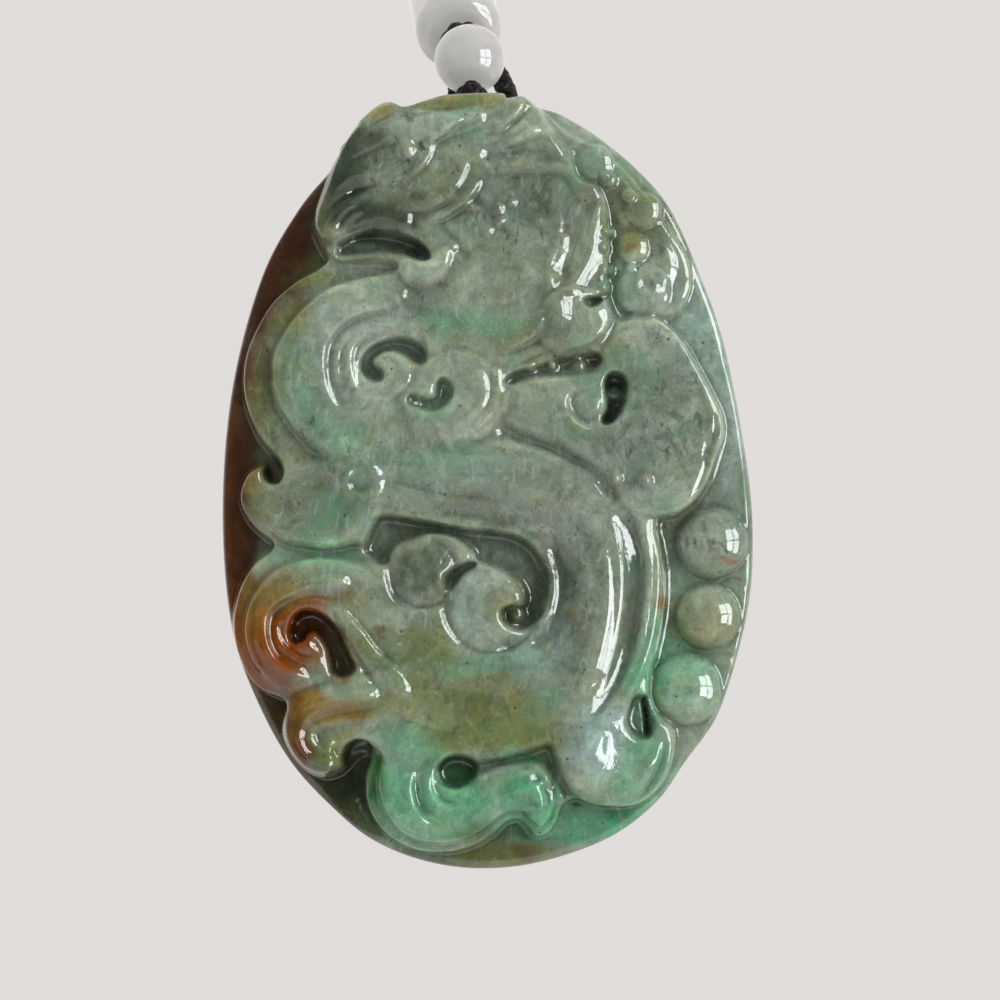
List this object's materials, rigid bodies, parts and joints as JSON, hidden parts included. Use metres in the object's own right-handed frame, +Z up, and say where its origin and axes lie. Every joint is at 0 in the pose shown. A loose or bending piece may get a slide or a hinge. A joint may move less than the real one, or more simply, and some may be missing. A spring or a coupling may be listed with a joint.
{
  "type": "jade phoenix pendant on a neck cord",
  "caption": "Oval jade pendant carved with a phoenix and scrolls, hanging from a black neck cord with a round bead and a barrel bead above it.",
  "frame": {"origin": "at the nape of the neck, on the side of the sliding knot that rests on the neck", "axes": "the carving faces -Y, +X is to its right as it is looked at, +Z is up"},
  "size_m": [0.1255, 0.166, 0.2659],
  "materials": {
    "jade": "polished",
    "cord": "braided",
    "white_bead": "polished, translucent"
  },
  "bodies": {
    "cord": {"hanging_loop": "cord", "lower_knot": "cord", "bead_thread": "cord", "round_bead": "white_bead", "spacer_knot": "cord", "barrel_thread": "cord", "barrel_bead": "white_bead", "top_knot": "cord", "neck_cord_left": "cord", "neck_cord_right": "cord", "slide_knot": "cord"},
    "pendant": {"jade_carving": "jade"}
  },
  "joints": [
    {"name": "pendant_swing", "type": "hinge", "parent": "cord", "child": "pendant", "pos_m": [-0.0004, -0.154, -0.2065], "axis": [1, 0, 0], "range_deg": [-20, 30]}
  ]
}
